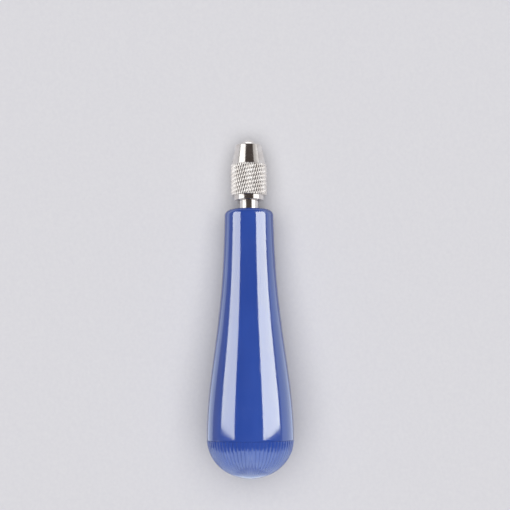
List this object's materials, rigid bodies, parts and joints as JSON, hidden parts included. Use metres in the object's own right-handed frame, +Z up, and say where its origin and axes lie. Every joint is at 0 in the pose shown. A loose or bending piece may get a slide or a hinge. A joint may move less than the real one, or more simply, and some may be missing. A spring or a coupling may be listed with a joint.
{
  "type": "lino cutter handle",
  "caption": "Pear-shaped glossy blue plastic handle with a ribbed screw-off end cap, blade storage inside and a knurled nickel screw chuck that clamps lino cutter blades.",
  "frame": {"origin": "on the floor, under the middle of the tool's length and width", "axes": "+Z up, +Y towards the chuck's nose, +X to the right seen from the end cap. The tool lies at rest on its belly and its handle's front edge, so its axis dips 5.2 degrees towards the nose"},
  "size_m": [0.033, 0.129, 0.0335],
  "materials": {
    "blue_plastic": "gloss",
    "nickel_plate": "bright",
    "bare_steel": "ground"
  },
  "bodies": {
    "handle": {"handle_shell": "blue_plastic", "chuck_stud": "nickel_plate", "thrust_ball": "bare_steel"},
    "cap": {"end_cap": "blue_plastic"},
    "jaw": {"clamp_jaw": "nickel_plate"},
    "nut": {"chuck_nut": "nickel_plate"}
  },
  "joints": [
    {"name": "cap_off", "type": "slide", "parent": "handle", "child": "cap", "axis": [0, -0.9959, 0.0905], "range_m": [0, 0.025]},
    {"name": "chuck_advance", "type": "slide", "parent": "handle", "child": "jaw", "axis": [0, 0.9959, -0.0905], "range_m": [0, 0.0025]},
    {"name": "chuck_turn", "type": "hinge", "parent": "jaw", "child": "nut", "pos_m": [0, 0.05306, 0.00774], "axis": [0, 0.9959, -0.0905], "range_deg": [0, 900]}
  ],
  "couplings": [
    {"joint": "chuck_turn", "follows": "chuck_advance", "rad_per_m": 6283.2}
  ]
}
